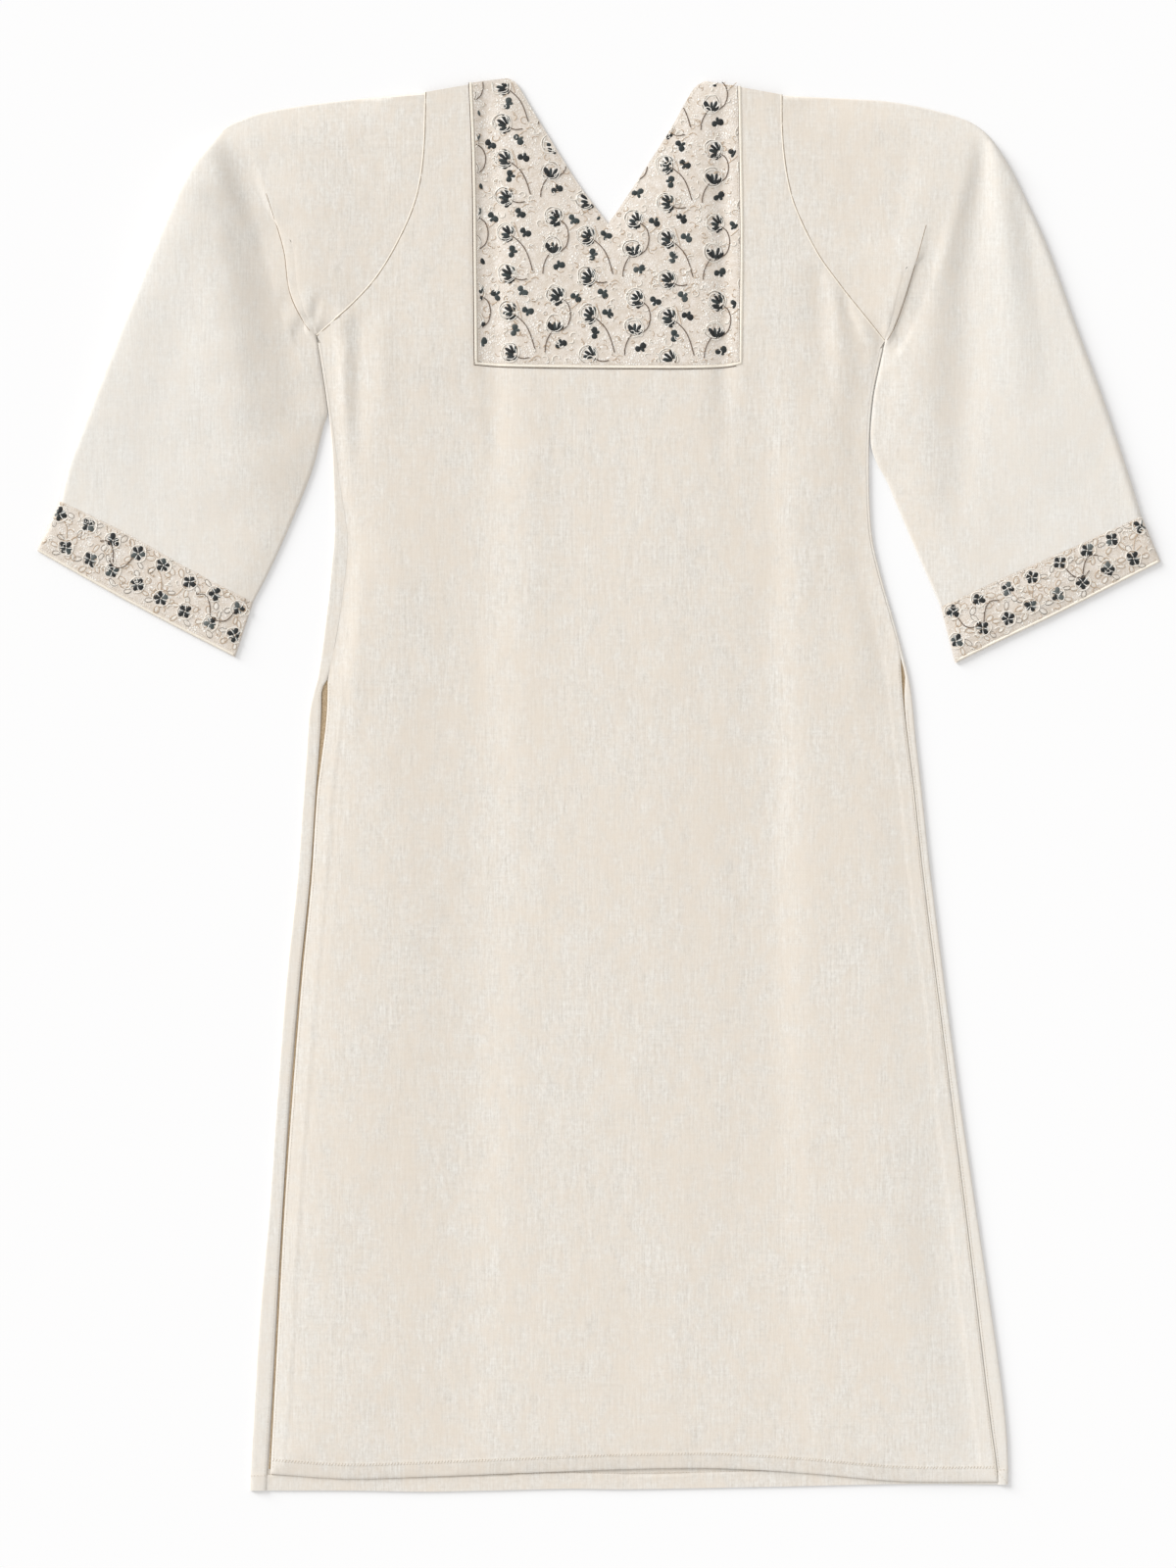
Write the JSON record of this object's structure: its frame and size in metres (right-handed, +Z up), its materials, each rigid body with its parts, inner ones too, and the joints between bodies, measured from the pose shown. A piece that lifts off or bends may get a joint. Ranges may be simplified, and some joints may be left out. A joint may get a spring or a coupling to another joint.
{
  "type": "kurta tunic",
  "caption": "Long-sleeved linen kurta tunic with an embroidered yoke round a V neck, embroidered cuffs and side slits, laid flat on its back.",
  "frame": {"origin": "under the middle of the laid-out garment, on the surface it lies on", "axes": "+X to the wearer's left, +Y from the hem to the neck, +Z up out of the front of the garment"},
  "size_m": [0.94, 1.182, 0.0068],
  "materials": {
    "linen": "undyed off-white slubbed linen, plain weave, matt",
    "embroidered": "ecru linen covered with thread embroidery of leaves and curling stems",
    "piping": "cream corded piping with a slight sheen"
  },
  "bodies": {
    "root": {"back": "linen", "front": "linen", "yoke": "embroidered", "yoke_piping": "piping", "sleeve_right": "linen", "sleeve_left": "linen", "cuff_right": "embroidered", "cuff_left": "embroidered"}
  },
  "joints": []
}
